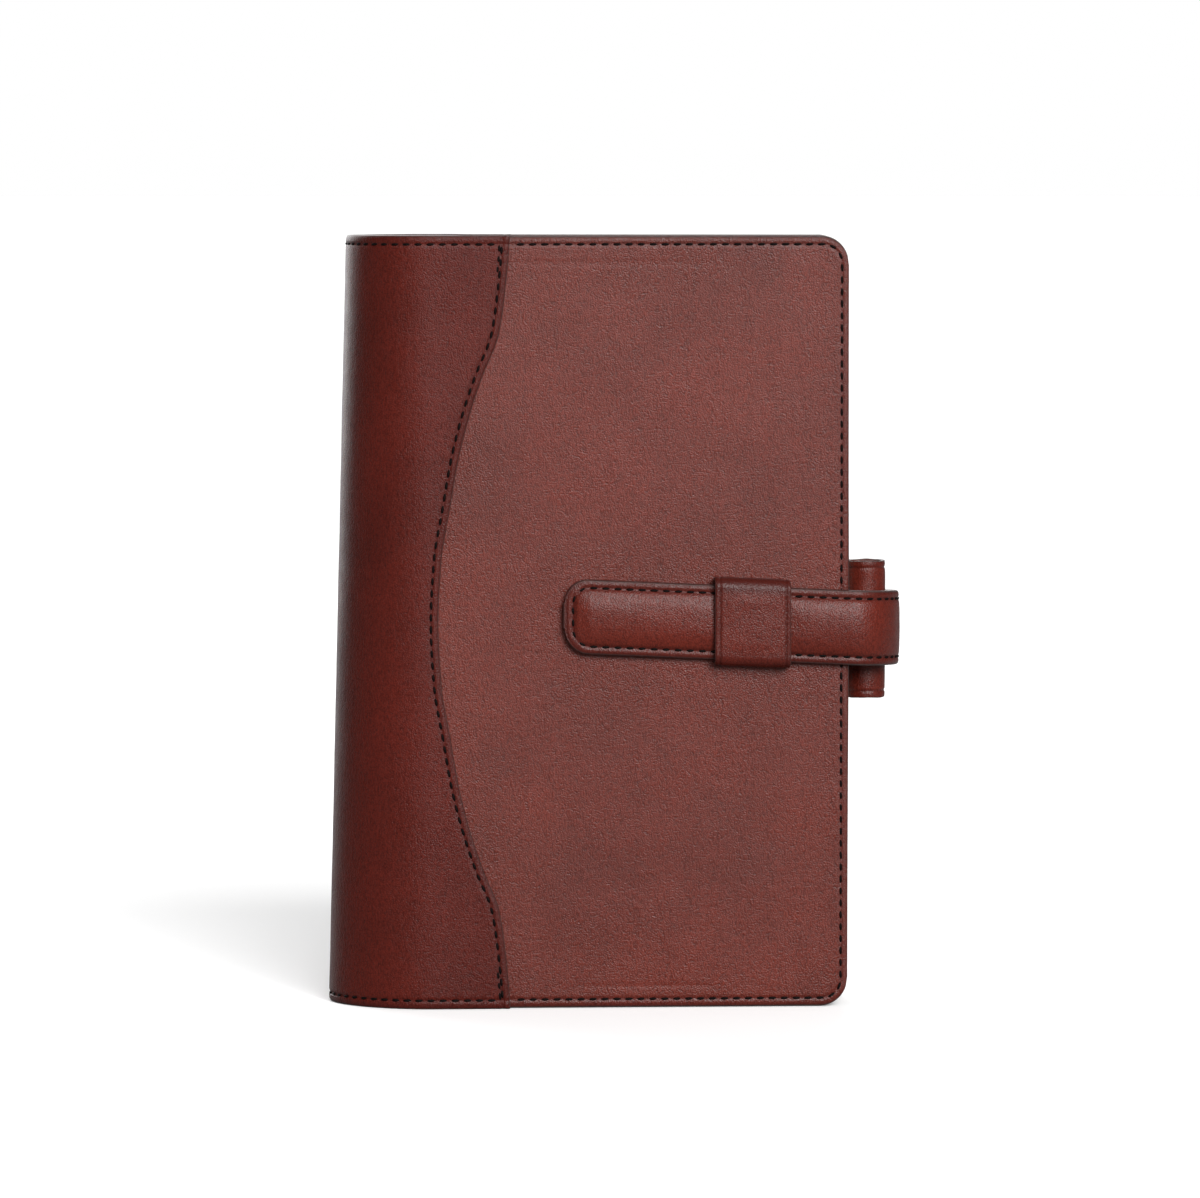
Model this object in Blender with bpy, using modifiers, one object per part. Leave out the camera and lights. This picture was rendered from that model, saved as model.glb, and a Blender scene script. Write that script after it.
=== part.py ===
"""Leather ring-binder notebook cover, closed by a strap that wraps round its fore edge.

It stands on its bottom edge: +Z up, front cover facing -Y, spine at -X, fore edge at +X, in metres.
The spine and the covers are one wall of several layers. A point of the wall is given by
  s  the distance along its outer profile, 0 at the middle of the spine, positive round to the front,
  z  the height,
  t  the depth inwards from the outer profile (negative is outside it).
"""
import math

import bmesh
import bpy
from mathutils import Matrix, Vector

# Overall sizes. REACH runs from the spine's outermost point to the outside of the strap's bend,
# and the object is centred on it; the other x sizes are measured from the spine's outermost point.
HEIGHT = 0.188
REACH = 0.1401
FORE_EDGE = 0.1276
SPINE_RADIUS = 0.020
SPINE_CENTRE = 0.0246
TAPER = math.radians(3.0)      # each cover closes in on the other towards the fore edge
FLARE = 0.0046                 # the spine leather stands out this far at the bottom
CORNER = 0.0065                # rounded outer corners of the covers
GAP = 0.0003                   # glue and thread space between layers

# Layers of the wall: depth of the outer face, thickness
OVERLAY = (0.0, 0.0010)
PANEL = (0.0013, 0.0010)
STIFFENER = (0.0013, 0.0023)
BOARD = (0.0026, 0.0010)
LINING = (0.0039, 0.0008)
POCKET = (0.0050, 0.0006)
CARD_POCKET = (0.0059, 0.0005)

# The overlay's free edge bows towards the spine. It lies SEAM_MIDDLE from the spine at mid-height;
# the list gives how far it has moved back at each distance from mid-height.
SEAM_MIDDLE = 0.0276
SEAM_SHAPE = ((0.0, 0.0), (0.015, 0.00075), (0.028, 0.0029), (0.040, 0.0050), (0.050, 0.0075),
              (0.060, 0.0108), (0.070, 0.0147), (0.080, 0.0162), (0.094, 0.0174))

# Strap
STRAP_WIDTH = 0.0184
STRAP_TIP = 0.0580
STRAP_CORNER = 0.0063
STRAP_HEIGHT = 0.0928          # middle of the strap as it passes the front fore edge
STRAP_DROOP = 0.0440           # it falls by this share of its length towards the fore edge
STRAP_LINING = (0.0001, 0.0009)
STRAP_OUTER = (-0.0014, 0.0012)
STRAP_PAD = (-0.0007, 0.0005)
PAD_RISE = 0.0013              # how far the padding lifts the leather along the middle
PAD_EDGE = 0.0026              # flat margin outside the padding, which takes the stitches
PAD_WIDTH = 0.0078
BEND_APEX = 0.1385
ANCHOR_START = 0.092           # the sewn end, on the back cover

# Keeper, the loop that the strap tucks under
KEEPER_NEAR, KEEPER_FAR = 0.0942, 0.1129
KEEPER_MIDDLE = 0.0942
KEEPER_HEIGHT = 0.0214
KEEPER_BAND = 0.0010
KEEPER_CROWN = -0.0040
KEEPER_ROUND = 0.0026

# Pen loop, a tube between the covers with a tab sewn inside the back cover
PEN_BOTTOM, PEN_TOP = 0.0747, 0.1083
PEN_X, PEN_Y = 0.1317, 0.0015
PEN_RADIUS = 0.0050
PEN_WALL = 0.0011

# Ring mechanism. v is the distance from the spine's inner face towards the fore edge.
MIDDLE = HEIGHT / 2
INNER_FACE = SPINE_CENTRE - SPINE_RADIUS + LINING[0] + LINING[1]
PLATE_V, PLATE_THICK, PLATE_WIDTH, PLATE_LENGTH = 0.0020, 0.0012, 0.0140, 0.1520
BLADE_V, BLADE_THICK, BLADE_INNER, BLADE_OUTER, BLADE_LENGTH = 0.0035, 0.0012, 0.0003, 0.0066, 0.1340
RIVET_HEIGHT = 0.0715
RIVET_HOLE = 0.0017
RING_V = 0.0137
RING_RADIUS = 0.0106
WIRE = 0.00125
RING_HEIGHTS = (-0.0635, -0.0445, -0.0255, 0.0255, 0.0445, 0.0635)

# Pages, in two halves that lie together when the cover is closed
PAGE_WIDTH, PAGE_HEIGHT, PAGE_STACK = 0.0950, 0.1700, 0.0042
PAGE_GAP = 0.00015
HOLE_RADIUS = 0.0029
HOLE_REACH = 0.01075
HOLE_MARGIN = 0.0052

# Joint axes, all vertical: x from the spine's outermost point, y
COVER_AXIS = (0.0078, 0.0145)
RING_AXIS = (INNER_FACE + 0.0034, 0.0068)
STRAP_AXIS = (FORE_EDGE, 0.0145)

LEFT = -REACH / 2
ROUND_END = SPINE_RADIUS * (math.pi / 2 + TAPER)      # s where the curve of the spine ends
ROUND_X = SPINE_CENTRE + SPINE_RADIUS * math.sin(TAPER)
SPLIT = SPINE_RADIUS * math.pi / 4                    # s where the spine bends when a cover opens

LEATHER = ("leather", (0.165, 0.040, 0.030), 0.0, 0.55)
DARK_LEATHER = ("dark leather", (0.095, 0.018, 0.012), 0.0, 0.5)
LEATHERBOARD = ("leatherboard", (0.25, 0.17, 0.11), 0.0, 0.8)
STEEL = ("polished steel", (0.75, 0.75, 0.76), 1.0, 0.15)
PAPER = ("paper", (0.86, 0.83, 0.76), 0.0, 0.8)
FELT = ("felt", (0.5, 0.48, 0.45), 0.0, 0.9)


# ------------------------------------------------------------ the wall

def s_at(x):
    """Distance along the profile of the point x from the spine, on the flat of a cover."""
    return ROUND_END + (x - ROUND_X) / math.cos(TAPER)


def profile(s):
    """Point and outward normal of the outer profile, and how much of the flare it takes."""
    side, run = (1.0 if s >= 0 else -1.0), abs(s)
    if run <= ROUND_END:
        phi = run / SPINE_RADIUS
        point = (SPINE_CENTRE - SPINE_RADIUS * math.cos(phi), -SPINE_RADIUS * math.sin(phi))
        normal = (-math.cos(phi), -math.sin(phi))
        share = math.cos(phi) ** 2 if phi < math.pi / 2 else 0.0
    else:
        run -= ROUND_END
        point = (ROUND_X + run * math.cos(TAPER), -SPINE_RADIUS * math.cos(TAPER) + run * math.sin(TAPER))
        normal = (math.sin(TAPER), -math.cos(TAPER))
        share = 0.0
    return Vector((LEFT + point[0], side * point[1], 0.0)), Vector((normal[0], side * normal[1], 0.0)), share


def wall(s, z, t, flared=False):
    point, normal, share = profile(s)
    place = point - t * normal + Vector((0.0, 0.0, z))
    if flared:
        place.x -= FLARE * (1.0 - z / HEIGHT) * share
    return place


def smooth_through(pairs, value):
    """Value of a smooth curve through a few points, with no overshoot between them."""
    xs, ys = zip(*pairs)
    slopes = [(ys[i + 1] - ys[i]) / (xs[i + 1] - xs[i]) for i in range(len(xs) - 1)]
    tangents = [0.0] + [2 * a * b / (a + b) if a * b > 0 else 0.0 for a, b in zip(slopes, slopes[1:])] + [slopes[-1] / 2]
    value = min(max(value, xs[0]), xs[-1])
    i = max(k for k in range(len(xs) - 1) if xs[k] <= value)
    h = xs[i + 1] - xs[i]
    u = (value - xs[i]) / h
    return (ys[i] * (2 * u**3 - 3 * u**2 + 1) + h * tangents[i] * (u**3 - 2 * u**2 + u)
            + ys[i + 1] * (3 * u**2 - 2 * u**3) + h * tangents[i + 1] * (u**3 - u**2))


def seam(z):
    """Where the overlay's free edge lies at height z, measured from the spine."""
    return SEAM_MIDDLE + smooth_through(SEAM_SHAPE, abs(z - MIDDLE))


def corner_inset(distance, radius):
    """How far a rounded corner has come in at this distance from the end."""
    return radius - math.sqrt(max(radius**2 - (radius - distance) ** 2, 0.0)) if distance < radius else 0.0


def steps(start, end, count):
    return [start + (end - start) * k / count for k in range(count + 1)]


# ------------------------------------------------------------ making objects

def collection(name):
    found = bpy.data.collections.get(name) or bpy.data.collections.new(name)
    if found.name not in bpy.context.scene.collection.children:
        bpy.context.scene.collection.children.link(found)
    return found


def material(name, colour, metallic, roughness):
    made = bpy.data.materials.get(name)
    if made is None:
        made = bpy.data.materials.new(name)
        made.use_nodes = True
        shader = made.node_tree.nodes["Principled BSDF"]
        shader.inputs["Base Color"].default_value = (*colour, 1.0)
        shader.inputs["Metallic"].default_value = metallic
        shader.inputs["Roughness"].default_value = roughness
    return made


def axis(name, x, y, parent=None):
    """An empty on a joint's vertical axis. The pieces of a moving body are parented to it."""
    empty = bpy.data.objects.new(name, None)
    empty.empty_display_size = 0.01
    empty.location = (LEFT + x, y, 0.0)
    collection("notebook_cover").objects.link(empty)
    bpy.context.view_layer.update()
    if parent:
        hold(empty, parent)
    return empty


def hold(obj, parent):
    """Parent an object and leave it where it is."""
    bpy.context.view_layer.update()
    obj.parent = parent
    obj.matrix_parent_inverse = parent.matrix_world.inverted()


def add(name, mesh, stuff, parent, location=(0.0, 0.0, 0.0)):
    obj = bpy.data.objects.new(name, mesh)
    obj.location = location
    collection("notebook_cover").objects.link(obj)
    mesh.materials.append(material(*stuff))
    hold(obj, parent)
    return obj


def add_cutter(name, mesh):
    obj = bpy.data.objects.new(name, mesh)
    obj.hide_render = True
    obj.display_type = "WIRE"
    collection("cutters").objects.link(obj)
    return obj


def combine(obj, other, operation):
    mod = obj.modifiers.new(operation.title(), "BOOLEAN")
    mod.operation = operation
    mod.solver = "EXACT"
    mod.object = other


def sheet(name, columns, rows, place, thickness, stuff, parent):
    """A layer: a grid laid over place(column, row) as its outer face, thickened inwards."""
    bm = bmesh.new()
    bmesh.ops.create_grid(bm, x_segments=len(columns) - 1, y_segments=rows, size=1.0)
    for vert in bm.verts:
        i = round((vert.co.x + 1.0) / 2.0 * (len(columns) - 1))
        vert.co = place(columns[i], (vert.co.y + 1.0) / 2.0)
    mesh = bpy.data.meshes.new(name)
    bm.to_mesh(mesh)
    bm.free()
    mesh.shade_smooth()
    obj = add(name, mesh, stuff, parent)
    mod = obj.modifiers.new("Thickness", "SOLIDIFY")
    mod.thickness = thickness
    mod.offset = -1.0
    return obj


def box(name, x, y, z, size, stuff, parent):
    """A box centred at x from the spine's outermost point."""
    bm = bmesh.new()
    bmesh.ops.create_cube(bm, size=1.0, matrix=Matrix.Diagonal((*size, 1.0)))
    mesh = bpy.data.meshes.new(name)
    bm.to_mesh(mesh)
    bm.free()
    return add(name, mesh, stuff, parent, (LEFT + x, y, z))


def rod_cutter(name, centres, direction, radius, length):
    """Cylinders along X or Y that cut a row of holes."""
    turn = Matrix.Rotation(math.pi / 2, 4, "Y" if direction == "X" else "X")
    bm = bmesh.new()
    for centre in centres:
        bmesh.ops.create_cone(bm, cap_ends=True, segments=20, radius1=radius, radius2=radius, depth=length,
                              matrix=Matrix.Translation(centre) @ turn)
    mesh = bpy.data.meshes.new(name)
    bm.to_mesh(mesh)
    bm.free()
    return add_cutter(name, mesh)


def curve_mesh(curve):
    """The closed mesh of a curve, with its caps welded on."""
    obj = bpy.data.objects.new(curve.name, curve)
    bpy.context.scene.collection.objects.link(obj)
    evaluated = obj.evaluated_get(bpy.context.evaluated_depsgraph_get())
    mesh = bpy.data.meshes.new_from_object(evaluated)
    bpy.data.objects.remove(obj, do_unlink=True)
    bm = bmesh.new()
    bm.from_mesh(mesh)
    bmesh.ops.remove_doubles(bm, verts=bm.verts, dist=0.000001)
    bmesh.ops.recalc_face_normals(bm, faces=bm.faces)
    bm.to_mesh(mesh)
    bm.free()
    return mesh


# ------------------------------------------------------------ the pieces

def cover_columns(start, end, corner):
    """Positions along a cover: close together round the spine and in the rounded corners."""
    out = []
    if start < ROUND_END:
        out += steps(start, ROUND_END, 10)[:-1]
        start = ROUND_END
    out += steps(start, end - corner, 4)[:-1]
    return out + [end - corner + corner * math.sin(math.pi / 2 * k / 6) for k in range(7)]


def cover_layer(name, side, start, end, layer, low, high, corner, stuff, parent, rows=4):
    """One layer of a cover, its two outer corners rounded. Side 1 is the front, -1 the back."""
    columns = sorted(side * s for s in cover_columns(start, end, corner))

    def place(s, share):
        inset = corner_inset(end - abs(s), corner)
        return wall(s, low + inset + (high - low - 2 * inset) * share, layer[0])

    return sheet(name, columns, rows, place, layer[1], stuff, parent)


def overlay(name, side, parent):
    """The leather that wraps from the spine on to a cover and ends at the curved seam."""
    start = SPLIT + GAP / 2
    columns = sorted(side * k for k in steps(0.0, 1.0, 15))

    def place(column, share):
        z, c = HEIGHT * share, abs(column)
        if c <= 0.65:
            s = start + (ROUND_END - start) * c / 0.65
        else:
            s = ROUND_END + (s_at(seam(z)) - ROUND_END) * (c - 0.65) / 0.35
        return wall(side * s, z, OVERLAY[0], flared=True)

    return sheet(name, columns, 32, place, OVERLAY[1], LEATHER, parent)


def spine_layer(name, layer, margin, stuff, parent, flared=False, rows=2):
    columns = steps(-SPLIT + GAP / 2, SPLIT - GAP / 2, 14)
    return sheet(name, columns, rows, lambda s, share: wall(s, margin + (HEIGHT - 2 * margin) * share, layer[0], flared),
                 layer[1], stuff, parent)


def spine(parent):
    spine_layer("spine_leather", OVERLAY, 0.0, LEATHER, parent, flared=True, rows=10)
    stiffener = spine_layer("spine_stiffener", STIFFENER, 0.003, LEATHERBOARD, parent)
    lining = spine_layer("spine_lining", LINING, 0.0, DARK_LEATHER, parent)
    plate = box("ring_plate", INNER_FACE + PLATE_V + PLATE_THICK / 2, 0.0, MIDDLE,
                (PLATE_THICK, PLATE_WIDTH, PLATE_LENGTH), STEEL, parent)
    holes = rod_cutter("rivet_holes", [(LEFT + INNER_FACE, 0.0, MIDDLE + h) for h in (-RIVET_HEIGHT, RIVET_HEIGHT)],
                       "X", RIVET_HOLE, 0.009)
    for obj in (stiffener, lining, plate):
        combine(obj, holes, "DIFFERENCE")
    rivet("plate_rivet_top", MIDDLE + RIVET_HEIGHT, parent)
    rivet("plate_rivet_bottom", MIDDLE - RIVET_HEIGHT, parent)


def rivet(name, z, parent):
    """A turned rivet. Its shank passes the plate and the lining and ends in the stiffener."""
    outline = ((0.0, 0.0047), (0.0018, 0.0047), (0.0026, 0.0045), (0.0030, 0.0041), (0.0030, 0.0035),
               (0.0014, 0.0035), (0.0014, -0.0028), (0.0, -0.0028))
    mesh = bpy.data.meshes.new(name)
    mesh.from_pydata([(r, 0.0, v) for r, v in outline], [(k, k + 1) for k in range(len(outline) - 1)], [])
    obj = add(name, mesh, STEEL, parent)
    obj.rotation_euler = (0.0, math.pi / 2, 0.0)
    obj.location = (LEFT + INNER_FACE, 0.0, z)
    mod = obj.modifiers.new("Turned", "SCREW")
    mod.axis = "Z"
    mod.steps = mod.render_steps = 16
    mod.use_merge_vertices = True
    mod.merge_threshold = 0.00001
    return obj


def cover(prefix, side, parent):
    start, end = SPLIT + GAP / 2, s_at(FORE_EDGE)
    overlay(prefix + "_overlay", side, parent)
    panel = cover_layer(prefix + "_panel", side, start, end, PANEL, 0.0, HEIGHT, CORNER, LEATHER, parent)
    cover_layer(prefix + "_board", side, s_at(0.030), end - 0.004, BOARD, 0.004, HEIGHT - 0.004, 0.004, LEATHERBOARD, parent)
    cover_layer(prefix + "_lining", side, start, end, LINING, 0.0, HEIGHT, CORNER, DARK_LEATHER, parent)
    pocket_end = 0.1225 if side > 0 else 0.1185      # the back one leaves room for the pen loop's tab
    cover_layer(prefix + "_pocket", side, s_at(0.032), s_at(pocket_end), POCKET, 0.008, HEIGHT - 0.008, 0.004, DARK_LEATHER, parent)
    return panel


def card_pockets(parent):
    for name, low in (("card_pocket_bottom", 0.052), ("card_pocket_middle", 0.083), ("card_pocket_top", 0.114)):
        cover_layer(name, 1.0, s_at(0.033), s_at(0.1215), CARD_POCKET, low, low + 0.028, 0.002, DARK_LEATHER, parent, rows=2)


def keeper(panel, parent):
    """An arch over the strap, with its two legs through slits in the front panel."""
    half, foot = KEEPER_HEIGHT / 2, 0.00245
    middle = s_at((KEEPER_NEAR + KEEPER_FAR) / 2)
    side_run = foot - KEEPER_CROWN - KEEPER_ROUND
    bend = KEEPER_ROUND * math.pi / 2
    top = 2 * (half - KEEPER_ROUND)

    def arch(along):
        """Height from the middle and depth, at a distance along the arch from its lower foot."""
        if along <= side_run:
            return -half, foot - along
        if along <= side_run + bend:
            a = (along - side_run) / KEEPER_ROUND
            return -half + KEEPER_ROUND * (1 - math.cos(a)), KEEPER_CROWN + KEEPER_ROUND * (1 - math.sin(a))
        return -half + KEEPER_ROUND + (along - side_run - bend), KEEPER_CROWN

    total = 2 * (side_run + bend) + top
    marks = [0.0] + [side_run + bend * k / 5 for k in range(6)]
    marks += [total - m for m in reversed(marks)]

    def place(s, share):
        along = marks[round(share * (len(marks) - 1))]
        z, t = arch(min(along, total - along))
        if along > total / 2:
            z = -z
        return wall(s, KEEPER_MIDDLE + z - STRAP_DROOP * (s - middle), t)

    sheet("keeper", [s_at(KEEPER_NEAR), middle, s_at(KEEPER_FAR)], len(marks) - 1, place, KEEPER_BAND, LEATHER, parent)

    bm = bmesh.new()
    for sign in (-1.0, 1.0):
        centre = wall(middle, KEEPER_MIDDLE + sign * (half - KEEPER_BAND / 2), 0.0018)
        turn = Matrix.Rotation(TAPER, 4, "Z") @ Matrix.Rotation(math.atan(STRAP_DROOP), 4, "Y")
        size = Matrix.Diagonal((KEEPER_FAR - KEEPER_NEAR + 0.0008, 0.0024, KEEPER_BAND + 0.0007, 1.0))
        bmesh.ops.create_cube(bm, size=1.0, matrix=Matrix.Translation(centre) @ turn @ size)
    mesh = bpy.data.meshes.new("keeper_slits")
    bm.to_mesh(mesh)
    bm.free()
    combine(panel, add_cutter("keeper_slits", mesh), "DIFFERENCE")


def bend_place(u):
    """Point and outward normal of the strap's bend, u from 0 at the front cover to 2 at the back cover."""
    k = 2.0 - u if u > 1.0 else u
    start = profile(s_at(FORE_EDGE))[0]
    apex = Vector((LEFT + BEND_APEX, 0.0, 0.0))
    p0, p1 = start, start + 0.007 * Vector((math.cos(TAPER), math.sin(TAPER), 0.0))
    p2, p3 = apex + Vector((0.0, -0.006, 0.0)), apex
    point = (1 - k) ** 3 * p0 + 3 * (1 - k) ** 2 * k * p1 + 3 * (1 - k) * k**2 * p2 + k**3 * p3
    tangent = ((1 - k) ** 2 * (p1 - p0) + 2 * (1 - k) * k * (p2 - p1) + k**2 * (p3 - p2)).normalized()
    normal = Vector((tangent.y, -tangent.x, 0.0))
    if u > 1.0:
        point.y, normal.y = -point.y, -normal.y
    return point, normal


def strap_stations():
    """Places along the strap: point, outward normal, distance past the fore edge, distance from the tip, share of the bend."""
    length = s_at(FORE_EDGE) - s_at(STRAP_TIP)
    runs = [STRAP_CORNER * (1 - math.cos(math.pi / 2 * k / 6)) for k in range(7)] + steps(STRAP_CORNER, length, 8)[1:]
    stations = []
    for run in runs:
        point, normal, _ = profile(s_at(STRAP_TIP) + run)
        stations.append((point, normal, run - length, run, 0.0))
    travelled, previous = 0.0, stations[-1][0]
    for u in steps(0.0, 1.97, 16)[1:]:
        point, normal = bend_place(u)
        travelled += (point - previous).length
        previous = point
        stations.append((point, normal, travelled, length + travelled, min(u, 1.0)))
    return stations


def pad_rise(w, from_tip, bend):
    """How far the padding lifts the strap's leather, w across from its middle."""
    reach = STRAP_WIDTH / 2 - PAD_EDGE
    dome = max(0.0, 1.0 - (w / reach) ** 2)
    return PAD_RISE * dome * min(1.0, max(0.0, (from_tip - PAD_EDGE) / 0.0035)) * (1.0 - 0.85 * bend)


def strap_layer(name, stations, layer, width, rise, rows, stuff, parent):
    def place(station, share):
        point, normal, past, from_tip, bend = station
        half = width / 2
        if width == STRAP_WIDTH:
            half -= corner_inset(from_tip, STRAP_CORNER)
        w = half * math.sin(math.pi * (share - 0.5))
        out = -layer[0] + rise * pad_rise(w, from_tip, bend)
        return point + normal * out + Vector((0.0, 0.0, STRAP_HEIGHT - STRAP_DROOP * past + w))

    return sheet(name, stations, rows, place, layer[1], stuff, parent)


def strap(swing, back):
    stations = strap_stations()
    strap_layer("strap_outer", stations, STRAP_OUTER, STRAP_WIDTH, 1.0, 10, LEATHER, swing)
    strap_layer("strap_lining", stations, STRAP_LINING, STRAP_WIDTH, 0.0, 4, DARK_LEATHER, swing)
    padded = [place for place in stations if place[3] >= STRAP_CORNER and place[4] == 0.0]
    strap_layer("strap_padding", padded, STRAP_PAD, PAD_WIDTH, 0.0, 2, FELT, swing)

    # the sewn end lies flat on the outside of the back cover
    end, past = s_at(FORE_EDGE), stations[-1][2]

    def place(s, share):
        z = STRAP_HEIGHT - STRAP_DROOP * (past + end + s) + STRAP_WIDTH * (share - 0.5)
        return wall(s, z, STRAP_OUTER[0])

    sheet("strap_anchor", steps(0.0005 - end, -s_at(ANCHOR_START), 4), 2, place, 0.0024, LEATHER, back)


def pen_loop(parent):
    """A strip rolled into a tube; its two ends are sewn together as a tab inside the back cover."""
    curve = bpy.data.curves.new("pen_loop", "CURVE")
    curve.dimensions = "2D"
    curve.fill_mode = "BOTH"
    curve.extrude = (PEN_TOP - PEN_BOTTOM) / 2
    tab = [(-0.0117, 0.00485 - PEN_Y), (-0.0117, 0.00615 - PEN_Y), (-0.0027, 0.00595 - PEN_Y)]
    outer = [(PEN_RADIUS * math.cos(a), PEN_RADIUS * math.sin(a))
             for a in steps(math.radians(100), math.radians(-218), 24)] + [(-0.0052, 0.0047 - PEN_Y)] + tab
    inner = [((PEN_RADIUS - PEN_WALL) * math.cos(a), (PEN_RADIUS - PEN_WALL) * math.sin(a))
             for a in steps(0.0, math.radians(345), 23)]
    for outline in (outer, inner):
        spline = curve.splines.new("POLY")
        spline.points.add(len(outline) - 1)
        for point, (x, y) in zip(spline.points, outline):
            point.co = (x, y, 0.0, 1.0)
        spline.use_cyclic_u = True
    mesh = curve_mesh(curve)
    mesh.name = "pen_loop"
    add("pen_loop", mesh, LEATHER, parent, (LEFT + PEN_X, PEN_Y, (PEN_TOP + PEN_BOTTOM) / 2))


def half_rings(name, side):
    """Six half rings in one mesh, from the blade to the middle, where the halves meet."""
    curve = bpy.data.curves.new(name, "CURVE")
    curve.dimensions = "3D"
    curve.bevel_depth = WIRE
    curve.bevel_resolution = 1
    curve.use_fill_caps = True
    for height in RING_HEIGHTS:
        spline = curve.splines.new("POLY")
        angles = steps(math.radians(32), math.pi - 0.00015 / RING_RADIUS, 12)
        spline.points.add(len(angles) - 1)
        for point, a in zip(spline.points, angles):
            point.co = (LEFT + INNER_FACE + RING_V - RING_RADIUS * math.cos(a), -side * RING_RADIUS * math.sin(a), MIDDLE + height, 1.0)
    return add_cutter(name, curve_mesh(curve))


def ring_set(name, side, parent):
    """A blade with its six half rings."""
    blade = box(name, INNER_FACE + BLADE_V + BLADE_THICK / 2, -side * (BLADE_INNER + BLADE_OUTER) / 2, MIDDLE,
                (BLADE_THICK, BLADE_OUTER - BLADE_INNER, BLADE_LENGTH), STEEL, parent)
    combine(blade, half_rings(name + "_wires", side), "UNION")


def pages(name, side, parent):
    hole_x = INNER_FACE + RING_V + HOLE_REACH
    y = -side * (PAGE_GAP + PAGE_STACK / 2)
    block = box(name, hole_x - HOLE_MARGIN + PAGE_WIDTH / 2, y, MIDDLE, (PAGE_WIDTH, PAGE_STACK, PAGE_HEIGHT), PAPER, parent)
    holes = rod_cutter(name + "_holes", [(LEFT + hole_x, y, MIDDLE + h) for h in RING_HEIGHTS], "Y", HOLE_RADIUS, PAGE_STACK + 0.002)
    combine(block, holes, "DIFFERENCE")


def main():
    for obj in list(bpy.data.objects):
        bpy.data.objects.remove(obj, do_unlink=True)
    base = axis("notebook_cover", -LEFT, 0.0)
    front = axis("front_cover_hinge", COVER_AXIS[0], -COVER_AXIS[1], base)
    back = axis("back_cover_hinge", COVER_AXIS[0], COVER_AXIS[1], base)
    leaves = INNER_FACE + RING_V
    spine(base)
    front_panel = cover("front", 1.0, front)
    cover("back", -1.0, back)
    card_pockets(front)
    keeper(front_panel, front)
    pen_loop(back)
    strap(axis("strap_hinge", *STRAP_AXIS, back), back)
    ring_set("front_ring_set", 1.0, axis("front_ring_hinge", RING_AXIS[0], -RING_AXIS[1], base))
    ring_set("back_ring_set", -1.0, axis("back_ring_hinge", RING_AXIS[0], RING_AXIS[1], base))
    pages("front_pages", 1.0, axis("front_pages_hinge", leaves, 0.0, base))
    pages("back_pages", -1.0, axis("back_pages_hinge", leaves, 0.0, base))


main()
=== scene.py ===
"""Leather ring-binder notebook cover: the looks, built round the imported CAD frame. Metres throughout."""

import math

import bpy
import numpy as np
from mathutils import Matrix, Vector


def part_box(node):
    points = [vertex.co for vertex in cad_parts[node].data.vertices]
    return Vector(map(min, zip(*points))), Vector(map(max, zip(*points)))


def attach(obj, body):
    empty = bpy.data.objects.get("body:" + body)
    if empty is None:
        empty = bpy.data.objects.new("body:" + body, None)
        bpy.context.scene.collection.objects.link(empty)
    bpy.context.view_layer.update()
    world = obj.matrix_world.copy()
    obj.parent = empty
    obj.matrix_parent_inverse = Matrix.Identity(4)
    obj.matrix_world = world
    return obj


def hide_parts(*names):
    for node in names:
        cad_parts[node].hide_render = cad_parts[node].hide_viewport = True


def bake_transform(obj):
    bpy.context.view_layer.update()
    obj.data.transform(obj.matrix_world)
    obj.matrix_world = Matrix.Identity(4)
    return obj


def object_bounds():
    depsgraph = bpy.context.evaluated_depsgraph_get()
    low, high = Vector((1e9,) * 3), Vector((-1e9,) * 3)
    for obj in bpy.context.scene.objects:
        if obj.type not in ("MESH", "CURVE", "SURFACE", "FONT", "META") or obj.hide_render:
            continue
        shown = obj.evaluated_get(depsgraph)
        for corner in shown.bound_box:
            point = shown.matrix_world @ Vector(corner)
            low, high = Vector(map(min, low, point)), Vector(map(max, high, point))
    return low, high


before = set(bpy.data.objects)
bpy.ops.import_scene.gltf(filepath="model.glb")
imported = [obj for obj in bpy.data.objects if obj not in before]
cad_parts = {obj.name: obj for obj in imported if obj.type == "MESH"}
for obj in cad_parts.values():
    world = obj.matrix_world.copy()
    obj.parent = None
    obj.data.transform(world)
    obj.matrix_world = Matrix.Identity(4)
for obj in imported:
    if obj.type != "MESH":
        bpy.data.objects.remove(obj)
CAD_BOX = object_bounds()
LEFT = CAD_BOX[0][0]
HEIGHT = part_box("spine_lining")[1].z
MIDDLE = HEIGHT / 2
MM = 0.001

# The wall of the cover, as in the CAD: s runs round the outer profile from the middle of the spine
# (positive to the front), z is the height and t the depth inwards.
SPINE_RADIUS = 20.0 * MM
SPINE_CENTRE = 24.6 * MM
FORE_EDGE = 127.6 * MM
TAPER = math.radians(3.0)
FLARE = 4.6 * MM
CORNER = 6.7 * MM
ROUND_END = SPINE_RADIUS * (math.pi / 2 + TAPER)
ROUND_X = SPINE_CENTRE + SPINE_RADIUS * math.sin(TAPER)
PANEL_T = 1.3 * MM           # depth of the panel's outer face
LINING_T = 4.7 * MM          # depth of the lining's inner face
OVERLAY_UNDER = 1.28 * MM    # depth of the overlay's underside
HINGE_START, HINGE_END = 9.0 * MM, 25.0 * MM      # the soft bend beside the spine, along s

SEAM_MIDDLE = 27.6 * MM
# how far up or down from the middle, and how far the seam has moved on to the cover there
SEAM_SHAPE = np.array(((0, 0), (15, 0.75), (28, 2.9), (40, 5.0), (50, 7.5), (60, 10.8),
                       (70, 14.7), (80, 16.2), (94, 17.4))) * MM

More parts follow.
